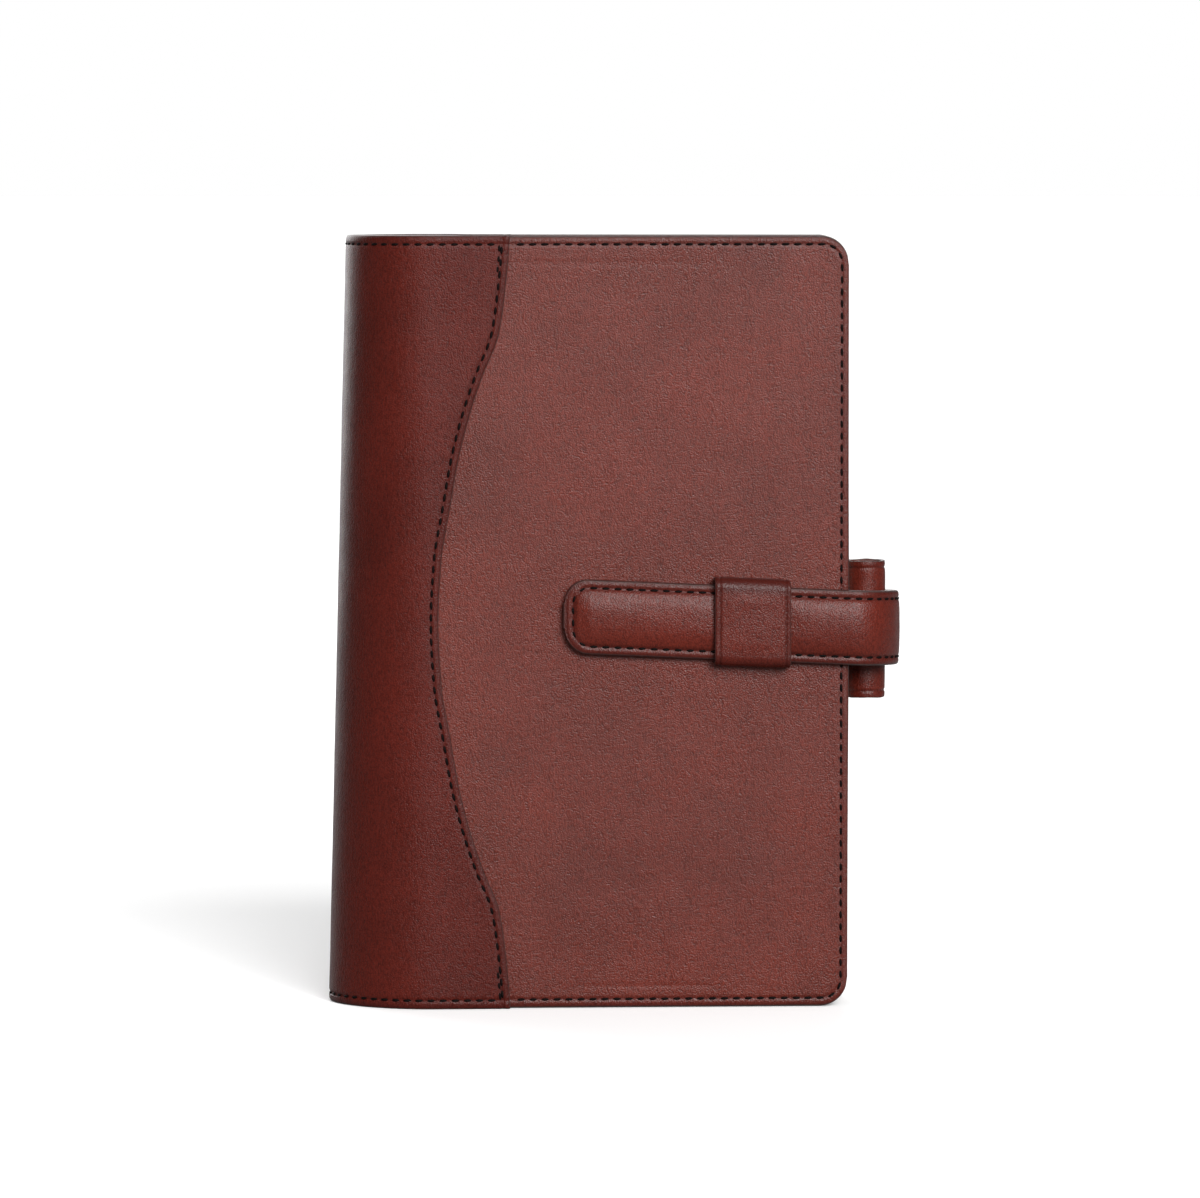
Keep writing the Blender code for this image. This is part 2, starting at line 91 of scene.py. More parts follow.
STITCH_PITCH = 2.93 * MM
STITCH_LENGTH = 1.95 * MM
THREAD = 0.33 * MM
MARGIN = 2.2 * MM            # stitches to cut edge
SEAM_MARGIN = 1.9 * MM
THREAD_SINK = 0.16 * MM      # the thread's middle lies this far below the leather's face
SEAM_ZONE = 9 * MM           # strip beside the overlay's free edge that has a finer grid
# faint lines pressed into the panel: height, start and end along x, depth
PRESSED_LINES = ((181.4, 28.0, 90.0, 0.09), (5.4, 64.0, 96.0, 0.07))

STRAP_WIDTH = 18.4 * MM
STRAP_TIP = 58.0 * MM
STRAP_CORNER = 6.3 * MM
STRAP_HEIGHT = 92.8 * MM
STRAP_DROOP = 0.0440
STRAP_OUTER_T = -1.4 * MM
STRAP_INNER_T = 1.0 * MM
STRAP_MARGIN = 2.1 * MM
STRAP_RIM = 0.5 * MM
PAD_RISE = 1.3 * MM
BEND_APEX = 138.5 * MM
BEND_PULL = 7 * MM, 6 * MM   # how strongly the bend keeps its direction at the fore edge and at its apex
ANCHOR_START = 92.0 * MM

KEEPER_NEAR, KEEPER_FAR = 94.2 * MM, 112.9 * MM
KEEPER_MIDDLE = 94.2 * MM
KEEPER_HEIGHT = 21.4 * MM
KEEPER_CROWN = -4.0 * MM
KEEPER_ROUND = 2.6 * MM
KEEPER_CREASE = 1.35 * MM    # creased line to cut edge

RING_RADIUS = 10.6 * MM
RING_WIRE = 1.25 * MM
RING_START = math.radians(30)
RING_HEIGHTS = np.array((-63.5, -44.5, -25.5, 25.5, 44.5, 63.5)) * MM
BLADE_REACH = 67 * MM
BLADE_INNER, BLADE_OUTER, BLADE_THICK = 0.3 * MM, 6.6 * MM, 1.2 * MM
BLADE_DOME = 0.12 * MM

FLOOR_REACH = 40.0

MAX_STAND = 0.54 * MM        # a thick edge, such as the spine's, stands out no further than this

rng = np.random.default_rng(7)


# ------------------------------------------------------------ the wall

def s_at(x):
    return ROUND_END + (x - ROUND_X) / math.cos(TAPER)


S_END = s_at(FORE_EDGE)


def profile(s):
    """Points, outward normals and flare shares of the outer profile, for an array of s."""
    side = np.where(s >= 0, 1.0, -1.0)
    phi = np.clip(np.abs(s) / SPINE_RADIUS, 0.0, math.pi / 2 + TAPER)
    run = np.maximum(np.abs(s) - ROUND_END, 0.0)
    x = LEFT + SPINE_CENTRE - SPINE_RADIUS * np.cos(phi) + run * math.cos(TAPER)
    y = side * (-SPINE_RADIUS * np.sin(phi) + run * math.sin(TAPER))
    zero = np.zeros_like(x)
    share = np.where(phi < math.pi / 2, np.cos(phi) ** 2, 0.0)
    return np.stack([x, y, zero], -1), np.stack([-np.cos(phi), -side * np.sin(phi), zero], -1), share


def wall(s, z, t, flared=1.0):
    """Points of the cover at s, height z and depth t."""
    s, z, t = np.broadcast_arrays(np.asarray(s, float), np.asarray(z, float), np.asarray(t, float))
    point, normal, share = profile(s)
    out = point - t[..., None] * normal
    out[..., 0] -= flared * FLARE * (1.0 - np.clip(z / HEIGHT, 0, 1)) * share
    out[..., 2] = z
    return out


def seam(z):
    """s of the overlay's free edge at height z: a smooth curve through the seam's shape."""
    d, v = SEAM_SHAPE[:, 0], SEAM_SHAPE[:, 1]
    slope = np.diff(v) / np.diff(d)
    product = slope[:-1] * slope[1:]
    inner = np.where(product > 0, 2 * product / np.maximum(slope[:-1] + slope[1:], 1e-9), 0.0)
    tangent = np.concatenate([[0.0], inner, [slope[-1] / 2]])
    q = np.clip(np.abs(np.asarray(z, float) - MIDDLE), d[0], d[-1])
    i = np.clip(np.searchsorted(d, q, side="right") - 1, 0, len(d) - 2)
    h = d[i + 1] - d[i]
    u = (q - d[i]) / h
    value = (v[i] * (2 * u**3 - 3 * u**2 + 1) + h * tangent[i] * (u**3 - 2 * u**2 + u)
             + v[i + 1] * (3 * u**2 - 2 * u**3) + h * tangent[i + 1] * (u**3 - u**2))
    return s_at(SEAM_MIDDLE + value)


def corner_inset(distance, radius):
    """How far a rounded corner has drawn in at this distance from the end."""
    gone = np.clip(radius - distance, 0.0, radius)
    return radius - np.sqrt(np.maximum(radius**2 - gone**2, 0.0))


def edge_distance(s, z, end, low, high, radius):
    """Distance inside the rounded outline of a cover; the spine side has no edge."""
    a = end - radius - np.abs(s)
    b = (high - low) / 2 - radius - np.abs(z - (low + high) / 2)
    outside = np.hypot(np.minimum(a, 0), np.minimum(b, 0))
    return radius - np.where((a < 0) & (b < 0), outside, -np.minimum(a, b))


def spaced(marks, steps):
    """Positions from the first mark to the last, with one step for each stretch between marks."""
    out = [marks[0]]
    for start, end, gap in zip(marks, marks[1:], steps):
        count = max(1, int(round(abs(end - start) / gap)))
        out += [start + (end - start) * k / count for k in range(1, count + 1)]
    return np.array(out)


def height_shares(fine, near, middle):
    """Shares of the height, with steps that are finest at the two ends."""
    marks = [0.0, 5.5 * MM, 12 * MM, HEIGHT - 12 * MM, HEIGHT - 5.5 * MM, HEIGHT]
    return spaced(marks, [fine, near, middle, near, fine]) / HEIGHT


def fade(distance, length):
    """1 at an edge, falling off with the distance from it."""
    return np.exp(-distance / length)


def waves(p, scale, seed, octaves=3):
    """Smooth random relief between about -1 and 1, a sum of turned sine waves."""
    local = np.random.default_rng(seed)
    total = np.zeros(p.shape[:-1])
    for octave in range(octaves):
        for _ in range(7):
            direction = local.normal(size=3)
            direction /= np.linalg.norm(direction)
            pace = (2 * math.pi / scale) * (1.7**octave) * local.uniform(0.7, 1.3)
            total += np.sin(p @ direction * pace + local.uniform(0, 6.28)) / (1.6**octave)
    return total / 5.0


# ------------------------------------------------------------ meshes

def mesh_object(name, points, faces, material_index, materials):
    mesh = bpy.data.meshes.new(name)
    mesh.from_pydata([], [], [])
    mesh.vertices.add(len(points))
    mesh.vertices.foreach_set("co", np.asarray(points, float).ravel())
    faces = np.asarray(faces, dtype=np.int32)
    mesh.loops.add(faces.size)
    mesh.loops.foreach_set("vertex_index", faces.ravel())
    mesh.polygons.add(len(faces))
    mesh.polygons.foreach_set("loop_start", np.arange(0, faces.size, faces.shape[1], dtype=np.int32))
    mesh.polygons.foreach_set("loop_total", np.full(len(faces), faces.shape[1], dtype=np.int32))
    for m in materials:
        mesh.materials.append(m)
    mesh.polygons.foreach_set("material_index", np.asarray(material_index, dtype=np.int32))
    mesh.update(calc_edges=True)
    mesh.validate()
    mesh.shade_smooth()
    obj = bpy.data.objects.new(name, mesh)
    bpy.context.scene.collection.objects.link(obj)
    return obj


def layer(name, outer, inner, materials, bulge=0.45, plain_sides=(), wear_and_shade=None, rim=6):
    """A closed body between two grids, with its cut edges rounded.

    materials are those of the outer face, the cut edge and the inner face. bulge is how far the
    edge stands out, as a share of half the thickness. plain_sides are the sides of the grid, out
    of "first" and "last", whose edge stays square. The darkening passed in, of burnished margins
    and painted shade in stitch grooves, creased lines and the keeper's rolls, is kept as an attribute of the
    points."""
    rows, cols = outer.shape[:2]
    index = np.array([(0, j) for j in range(cols - 1)] + [(i, cols - 1) for i in range(rows - 1)]
                     + [(rows - 1, j) for j in range(cols - 1, 0, -1)]
                     + [(i, 0) for i in range(rows - 1, 0, -1)])
    inside = np.stack([np.clip(index[:, 0], 1, rows - 2), np.clip(index[:, 1], 1, cols - 2)], -1)
    top, bottom = outer[index[:, 0], index[:, 1]], inner[index[:, 0], index[:, 1]]
    centre = (top + bottom) / 2
    away = centre - (outer[inside[:, 0], inside[:, 1]] + inner[inside[:, 0], inside[:, 1]]) / 2
    across = top - bottom
    thick = np.linalg.norm(across, axis=1, keepdims=True)
    across = across / thick
    away -= across * np.sum(away * across, axis=1, keepdims=True)
    away /= np.maximum(np.linalg.norm(away, axis=1, keepdims=True), 1e-9)
    stand = np.full(len(index), bulge)
    for side, row in (("first", 0), ("last", rows - 1)):
        if side in plain_sides:
            stand[index[:, 0] == row] = 0.0
    stand = np.minimum(stand, 2 * MAX_STAND / thick[:, 0])
    loops = []
    for k in range(1, rim):
        a = math.pi * k / rim
        loops.append(centre + across * thick / 2 * math.cos(a) + away * thick / 2 * math.sin(a) * stand[:, None])
    n = rows * cols
    ring = len(index)
    points = np.concatenate([outer.reshape(-1, 3), inner.reshape(-1, 3)] + loops)
    number = np.arange(n).reshape(rows, cols)
    quads = np.stack([number[:-1, :-1], number[:-1, 1:], number[1:, 1:], number[1:, :-1]], -1)
    quads = quads.reshape(-1, 4)
    faces = [quads, quads[:, ::-1] + n]
    which = [np.zeros(len(quads)), np.full(len(quads), 2)]
    border = number[index[:, 0], index[:, 1]]
    ids = [border] + [2 * n + k * ring + np.arange(ring) for k in range(rim - 1)] + [border + n]
    for a, b in zip(ids, ids[1:]):
        faces.append(np.stack([a, b, np.roll(b, -1), np.roll(a, -1)], -1))
        which.append(np.ones(ring))
    faces, which = np.concatenate(faces), np.concatenate(which)
    a, b, c, d = (points[faces[:, k]] for k in range(4))
    if np.sum(a * np.cross(b, c)) + np.sum(a * np.cross(c, d)) < 0:          # inside out
        faces = faces[:, ::-1]
    obj = mesh_object(name, points, faces, which, materials)
    if wear_and_shade is not None:
        values = np.concatenate([wear_and_shade.ravel(), np.zeros(n), np.tile(wear_and_shade[index[:, 0], index[:, 1]], rim - 1)])
        attribute = obj.data.attributes.new("wear_and_shade", "FLOAT", "POINT")
        attribute.data.foreach_set("value", values.astype(np.float32))
    return obj


def pipe_faces(rings, sides):
    """Faces between rings of points that follow each other."""
    cell = np.arange(sides)
    beside = (cell + 1) % sides
    return np.concatenate([np.stack([k * sides + cell, k * sides + beside,
                                     (k + 1) * sides + beside, (k + 1) * sides + cell], -1)
                           for k in range(rings - 1)])


def point_along(distance, travelled, values):
    return np.array([np.interp(distance, travelled, values[:, c]) for c in range(3)])


def stitches(name, runs, material):
    """Thread lying along each run (points, outward normals): short arcs that dip in at both ends."""
    rings, sides = 9, 8
    along = np.linspace(-0.5, 0.5, rings)
    around = np.linspace(0, 2 * math.pi, sides, endpoint=False)
    girth = np.sqrt(np.clip(1 - np.abs(2 * along) ** 6, 0.0, 1)) * (0.9 + 0.1 * np.cos(2 * math.pi * along))
    girth[[0, -1]] = 0.25
    quads = pipe_faces(rings, sides)
    points, faces = [], []
    for path, normal in runs:
        travelled = np.concatenate([[0], np.cumsum(np.linalg.norm(np.diff(path, axis=0), axis=1))])
        count = max(1, int(round(travelled[-1] / STITCH_PITCH)))
        pitch = travelled[-1] / count
        for k in range(count):
            middle = (k + 0.5) * pitch
            up = point_along(middle, travelled, normal)
            up /= np.linalg.norm(up)
            ahead = min(middle + STITCH_LENGTH / 2, travelled[-1])
            behind = max(middle - STITCH_LENGTH / 2, 0)
            run = point_along(ahead, travelled, path) - point_along(behind, travelled, path)
            run -= up * (run @ up)
            run /= np.linalg.norm(run)
            # each stitch is turned, lifted and lengthened a little of its own
            run = run * math.cos(0.05) + np.cross(up, run) * math.sin(0.05) * rng.uniform(0.4, 1.6)
            side = np.cross(up, run)
            lift = (0.62 * np.cos(math.pi * along) - 0.36) * THREAD * rng.uniform(0.9, 1.1)
            length = STITCH_LENGTH * rng.uniform(0.95, 1.04)
            line = point_along(middle, travelled, path) + run * (along * length)[:, None] + up * lift[:, None]
            loop = side * np.cos(around)[:, None] + up * np.sin(around)[:, None] * 0.85
            thread_points = line[:, None, :] + loop[None] * (girth * THREAD)[:, None, None]
            faces.append(quads + len(points) * rings * sides)
            points.append(thread_points.reshape(-1, 3))
    faces = np.concatenate(faces)
    return mesh_object(name, np.concatenate(points), faces, np.zeros(len(faces)), [material])


def tube(name, line, radius, material, sides=20):
    """A round wire along a line of points, closed at both ends."""
    tangent = np.gradient(line, axis=0)
    tangent /= np.linalg.norm(tangent, axis=1, keepdims=True)
    up = np.array((0.0, 0.0, 1.0))
    side = np.cross(tangent, up)
    side /= np.linalg.norm(side, axis=1, keepdims=True)
    a = np.linspace(0, 2 * math.pi, sides, endpoint=False)
    loops = side[:, None] * np.cos(a)[None, :, None] + up[None, None] * np.sin(a)[None, :, None]
    loops = line[:, None] + loops * radius
    start, end = (line[k][None, None].repeat(sides, 1) for k in (0, -1))
    points = np.concatenate([start, loops, end]).reshape(-1, 3)
    faces = pipe_faces(len(line) + 2, sides)
    return mesh_object(name, points, faces, np.zeros(len(faces)), [material])


# ------------------------------------------------------------ materials

def new_material(name, colour, roughness, metallic=0.0):
    m = bpy.data.materials.new(name)
    m.use_nodes = True
    shader = m.node_tree.nodes["Principled BSDF"]
    shader.inputs["Base Color"].default_value = (*colour, 1.0)
    shader.inputs["Roughness"].default_value = roughness
    shader.inputs["Metallic"].default_value = metallic
    return m, m.node_tree, shader


def node(tree, kind, inputs=None, **settings):
    n = tree.nodes.new(kind)
    for key, value in settings.items():
        setattr(n, key, value)
    for key, value in (inputs or {}).items():
        n.inputs[key].default_value = value
    return n


def ramp(tree, source, low, high):
    """A colour between two stops, each a position and a colour."""
    r = tree.nodes.new("ShaderNodeValToRGB")
    for element, (position, colour) in zip(r.color_ramp.elements, (low, high)):
        element.position, element.color = position, (*colour, 1)
    tree.links.new(source, r.inputs["Fac"])
    return r.outputs["Color"]


def mix(tree, factor, a, b, blend="MIX"):
    n = tree.nodes.new("ShaderNodeMix")
    n.data_type, n.blend_type = "RGBA", blend
    for key, value in (("Factor", factor), ("A", a), ("B", b)):
        socket = next(s for s in n.inputs if s.name == key and s.enabled and (key == "Factor" or s.type == "RGBA"))
        if isinstance(value, bpy.types.NodeSocket):
            tree.links.new(value, socket)
        else:
            socket.default_value = value if key == "Factor" else (*value, 1)
    return next(s for s in n.outputs if s.type == "RGBA")


def maths(tree, operation, a, b=0.0, clamp=False):
    n = node(tree, "ShaderNodeMath", operation=operation, use_clamp=clamp)
    for k, value in enumerate((a, b)):
        if isinstance(value, bpy.types.NodeSocket):
            tree.links.new(value, n.inputs[k])
        else:
            n.inputs[k].default_value = value
    return n.outputs[0]


def noise(tree, source, scale, detail, roughness=0.5):
    n = node(tree, "ShaderNodeTexNoise", {"Scale": scale, "Detail": detail, "Roughness": roughness})
    tree.links.new(source, n.inputs["Vector"])
    return n


def mapped(tree, source, **inputs):
    n = node(tree, "ShaderNodeMapping", inputs)
    tree.links.new(source, n.inputs["Vector"])
    return n.outputs["Vector"]


def bumped(tree, shader, height, distance, strength=1.0):
    bump = node(tree, "ShaderNodeBump", {"Strength": strength, "Distance": distance})
    tree.links.new(height, bump.inputs["Height"])
    tree.links.new(bump.outputs["Normal"], shader.inputs["Normal"])


def object_place(tree):
    return node(tree, "ShaderNodeTexCoord").outputs["Object"]


def leather(name, tone, dark, grain=0.36 * MM, relief=0.085 * MM, roughness=0.34, creases=0.7,
            wear_and_shade_strength=0.5, gloss=0.28):
    """Fine pebbled leather: small cells, long soft creases, mottled colour, painted shade in the grain's hollows,
    darker where burnished, and painted shade in stitch grooves, creased lines and the keeper's rolls.
    """
    m, tree, shader = new_material(name, tone, roughness)
    shader.inputs["Specular IOR Level"].default_value = gloss
    place = object_place(tree)

    # cells of the grain, bent a little so that they don't look regular
    shift = node(tree, "ShaderNodeVectorMath", {"Scale": 0.5 * MM}, operation="SCALE")
    tree.links.new(noise(tree, place, 700.0, 2.0).outputs["Color"], shift.inputs[0])
    bent = node(tree, "ShaderNodeVectorMath", operation="ADD")
    tree.links.new(place, bent.inputs[0])
    tree.links.new(shift.outputs[0], bent.inputs[1])
    cells = node(tree, "ShaderNodeTexVoronoi", {"Scale": 1.0 / grain, "Randomness": 0.9, "Smoothness": 0.35},
                 feature="SMOOTH_F1")
    tree.links.new(bent.outputs[0], cells.inputs["Vector"])
    slanted = mapped(tree, place, Rotation=(0.0, math.radians(-42), 0.0), Scale=(1.0, 1.0, 0.34))
    fine = noise(tree, slanted, 2900.0, 3.0, 0.6).outputs["Fac"]

    # creases, drawn out along a slanting direction
    turned = mapped(tree, place, Rotation=(0.0, math.radians(38), 0.0), Scale=(1.0, 1.0, 0.28))
    folds = noise(tree, turned, 520.0, 6.0, 0.62).outputs["Fac"]
    folds = maths(tree, "ABSOLUTE", maths(tree, "SUBTRACT", folds, 0.5))
    folds = maths(tree, "SUBTRACT", 1.0, maths(tree, "MULTIPLY", folds, 7.0, True), True)
    folds = maths(tree, "MULTIPLY", maths(tree, "POWER", folds, 3.0), 0.5 * creases)

    height = maths(tree, "SUBTRACT", 1.0, maths(tree, "MULTIPLY", cells.outputs["Distance"], 1.1))
    height = maths(tree, "ADD", height, maths(tree, "MULTIPLY", fine, 1.3))
    height = maths(tree, "SUBTRACT", height, folds)
    bumped(tree, shader, height, relief)

    # colour: broad mottling, painted shade in the grain's hollows with painted light on its raised cells, fine
    # specks, and darker burnished margins with painted shade in the stitch grooves, creased lines and the keeper's
    # rolls
    broad = noise(tree, place, 38.0, 5.0, 0.55).outputs["Fac"]
    colour = mix(tree, ramp(tree, broad, (0.34, (0, 0, 0)), (0.66, (1, 1, 1))),
                 tuple(c * 0.86 for c in tone), tuple(min(c * 1.12, 1) for c in tone))
    depth = maths(tree, "SUBTRACT", fine, maths(tree, "MULTIPLY", cells.outputs["Distance"], 0.45))
    # painted shade: the grain's hollows darkened and its raised cells lightened
    painted_grain_shading = ramp(tree, depth, (0.04, (0.55, 0.46, 0.43)), (0.42, (1.16, 1.14, 1.12)))
    colour = mix(tree, 1.0, colour, painted_grain_shading, "MULTIPLY")
    specks = noise(tree, place, 900.0, 2.0, 0.55).outputs["Fac"]
    speck = ramp(tree, specks, (0.3, (0.90, 0.88, 0.87)), (0.7, (1, 1, 1)))
    colour = mix(tree, 1.0, colour, speck, "MULTIPLY")
    # the darkening kept on the points: burnished margins, and painted shade in stitch grooves, creased lines and
    # the keeper's rolls
    wear_and_shade_mask = node(tree, "ShaderNodeAttribute", attribute_name="wear_and_shade").outputs["Fac"]
    colour = mix(tree, maths(tree, "MULTIPLY", wear_and_shade_mask, wear_and_shade_strength, True), colour, dark)
    tree.links.new(colour, shader.inputs["Base Color"])
    patches = noise(tree, place, 240.0, 3.0, 0.55).outputs["Fac"]
    rough = maths(tree, "ADD", roughness - 0.07, maths(tree, "MULTIPLY", patches, 0.16))
    tree.links.new(rough, shader.inputs["Roughness"])
    return m


def edge_paint():
    """Dark paint on the cut edges, a little uneven in colour and grit."""
    m, tree, shader = new_material("edge_paint", (0.030, 0.009, 0.007), 0.46)
    grit = noise(tree, object_place(tree), 1500.0, 4.0).outputs["Fac"]
    bumped(tree, shader, grit, 0.06 * MM, 0.6)
    colour = ramp(tree, grit, (0.35, (0.020, 0.006, 0.005)), (0.7, (0.052, 0.015, 0.011)))
    tree.links.new(colour, shader.inputs["Base Color"])
    return m


def thread_material():
    """Waxed black thread with its twist."""
    m, tree, shader = new_material("black_thread", (0.0035, 0.0022, 0.0020), 0.6)
    twist = node(tree, "ShaderNodeTexWave", {"Scale": 1400.0, "Distortion": 1.5},
                 wave_type="BANDS", bands_direction="DIAGONAL")
    tree.links.new(object_place(tree), twist.inputs["Vector"])
    bumped(tree, shader, twist.outputs["Fac"], 0.05 * MM, 0.8)
    shader.inputs["Specular IOR Level"].default_value = 0.06
    return m


def paper_material():
    """Cream paper whose cut edges show the separate sheets, with painted shade in the darker lines between them.
    """
    m, tree, shader = new_material("page_paper", (0.80, 0.77, 0.69), 0.75)
    sheets = mapped(tree, object_place(tree), Scale=(6.0, 5200.0, 6.0))
    lines = noise(tree, sheets, 1.0, 2.0).outputs["Fac"]
    bumped(tree, shader, lines, 0.1 * MM, 0.5)
    # painted shade: darker lines between the sheets
    colour = ramp(tree, lines, (0.3, (0.62, 0.58, 0.50)), (0.6, (0.82, 0.79, 0.71)))
    tree.links.new(colour, shader.inputs["Base Color"])
    return m


def metal_material():
    """Polished nickel, a little uneven in its shine."""
    m, tree, shader = new_material("polished_nickel", (0.78, 0.77, 0.75), 0.14, 1.0)
    patches = noise(tree, object_place(tree), 900.0, 3.0).outputs["Fac"]
    rough = ramp(tree, patches, (0.3, (0.10, 0.10, 0.10)), (0.7, (0.22, 0.22, 0.22)))
    tree.links.new(rough, shader.inputs["Roughness"])
    return m


PANEL_TONE = (0.098, 0.0138, 0.0076)
PANEL_DARK = (0.030, 0.0036, 0.0026)
OVERLAY_TONE = (0.074, 0.0088, 0.0053)
OVERLAY_DARK = (0.022, 0.0026, 0.0020)
STRAP_TONE = (0.090, 0.0115, 0.0062)
STRAP_DARK = (0.026, 0.0030, 0.0022)
LINING_TONE = (0.085, 0.020, 0.015)
panel_leather = leather("panel_leather", PANEL_TONE, PANEL_DARK)
overlay_leather = leather("overlay_leather", OVERLAY_TONE, OVERLAY_DARK, gloss=0.16)
strap_leather = leather("strap_leather", STRAP_TONE, STRAP_DARK, relief=0.065 * MM, roughness=0.33,
                        wear_and_shade_strength=0.6, gloss=0.22)
lining_leather = leather("lining_leather", LINING_TONE, OVERLAY_DARK, relief=0.05 * MM, roughness=0.6)
paint = edge_paint()
thread = thread_material()
paper = paper_material()
nickel = metal_material()


# ------------------------------------------------------------ covers

def groove(distance, depth=0.20 * MM, width=0.42 * MM):
    """The hollow that a row of stitches pulls into the leather."""
    return depth * np.exp(-((distance / width) ** 2))


def hinge_line(side):
    start = wall(side * HINGE_START, MIDDLE, 2 * MM)
    end = wall(side * HINGE_END, MIDDLE, 2 * MM)
    return tuple(start), tuple(end)


def cover_body(prefix, side):
    """Panel, board and lining of one cover with half of the spine, as one stitched and painted wall."""
    rim = 0.45 * (LINING_T - PANEL_T - 1.0 * MM) / 2
    end, low, high = S_END - rim, rim, HEIGHT - rim
    columns = side * spaced([0.0, ROUND_END, end - 12 * MM, end - 5 * MM, end],
                            [1.0 * MM, 1.6 * MM, 0.7 * MM, 0.28 * MM])
    shares = height_shares(0.28 * MM, 0.7 * MM, 1.6 * MM)
    s = columns[:, None] + 0 * shares[None]
    inset = corner_inset(end - np.abs(s), CORNER)
    z = low + inset + (high - low - 2 * inset) * shares[None]
    edge = edge_distance(s, z, end, low, high, CORNER)
    to_stitches = edge - (MARGIN - rim)
    relief = groove(to_stitches)
    relief += 0.30 * MM * fade(edge, 0.45 * MM)                 # the cut edge is rounded over
    x = ROUND_X + (np.abs(s) - ROUND_END) * math.cos(TAPER)
    for height, first, last, depth in PRESSED_LINES:
        along = 1 / (1 + np.exp(-(x - first * MM) / (2 * MM))) / (1 + np.exp((x - last * MM) / (2 * MM)))
        relief += depth * MM * along * np.exp(-((z - height * MM) / (0.5 * MM)) ** 2)
    relief += 0.05 * MM * waves(wall(s, z, 0.0), 34 * MM, 11 if side > 0 else 12)
    outer = wall(s, z, PANEL_T + relief)
    # the wall is skived thinner towards its edge
    thin = 1.0 * MM * np.exp(-((np.maximum(edge, 0) / (3.2 * MM)) ** 2))
    thin *= np.clip((np.abs(s) - ROUND_END) / (10 * MM), 0, 1)
    inner_depth = LINING_T - thin - groove(to_stitches, 0.15 * MM) - 0.2 * MM * fade(edge, 0.4 * MM)
    inner = wall(s, z, inner_depth, flared=0.0)
    # darker burnished margins, and painted shade in the stitch groove
    wear_and_shade = np.clip(fade(edge, 1.4 * MM) * 0.9 + groove(to_stitches, 0.5, 0.5 * MM), 0, 1)
    plain = ("first",) if side > 0 else ("last",)
    if side < 0:
        outer, inner, wear_and_shade = outer[::-1], inner[::-1], wear_and_shade[::-1]
    obj = layer(prefix + "_cover_body", outer, inner, [panel_leather, paint, lining_leather],
                plain_sides=plain, wear_and_shade=wear_and_shade)
    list(hinge_line(side))
    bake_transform(obj)
    names = [prefix + "_panel", prefix + "_board", prefix + "_lining"]
    if side > 0:
        names += ["spine_stiffener", "spine_lining"]
    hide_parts(*names)


def overlay(prefix, side):
    """The darker leather that wraps the spine and ends on the cover at the curved seam."""
    rim = 0.45 * OVERLAY_UNDER / 2
    low, high = rim, HEIGHT - rim
    shares = height_shares(0.28 * MM, 0.6 * MM, 1.2 * MM)
    z = (low + (high - low) * shares)[None]
    from_edge = spaced([0.0, SEAM_ZONE / 2, SEAM_ZONE], [0.26 * MM, 0.6 * MM])[::-1]
    bulk = np.linspace(0.0, 1.0, 44)[:-1]
    free = seam(z) - rim
    s = np.concatenate([bulk[:, None] * (free - SEAM_ZONE), free - from_edge[:, None]])
    z = z + 0 * s
    slope = np.gradient(seam(z[0]), z[0])
    to_seam = (free - s) / np.sqrt(1 + slope**2)[None]
    to_end = np.minimum(z - low, high - z)
    to_edge = np.minimum(to_end, to_seam)
    relief = groove(to_end - (MARGIN - rim)) + groove(to_seam - (SEAM_MARGIN - rim), 0.24 * MM)
    relief += 0.26 * MM * fade(to_edge, 0.42 * MM)
    relief += 0.05 * MM * waves(wall(side * s, z, 0.0), 30 * MM, 21 if side > 0 else 22)
    # darker burnished margins, and painted shade in the seam's stitch groove
    wear_and_shade = np.clip(fade(to_edge, 1.0 * MM) + groove(to_seam - SEAM_MARGIN, 0.5, 0.5 * MM), 0, 1)
    obj = layer(prefix + "_overlay_leather", wall(side * s, z, relief), wall(side * s, z, OVERLAY_UNDER),
                [overlay_leather, paint, overlay_leather], plain_sides=("first",), wear_and_shade=wear_and_shade)
    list(hinge_line(side))
    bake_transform(obj)
    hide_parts(*([prefix + "_overlay"] + (["spine_leather"] if side > 0 else [])))


def line_on_wall(s, z, t):
    """A run for stitches(): points of the wall and its outward normals."""
    return wall(s, z, t), profile(s)[1]


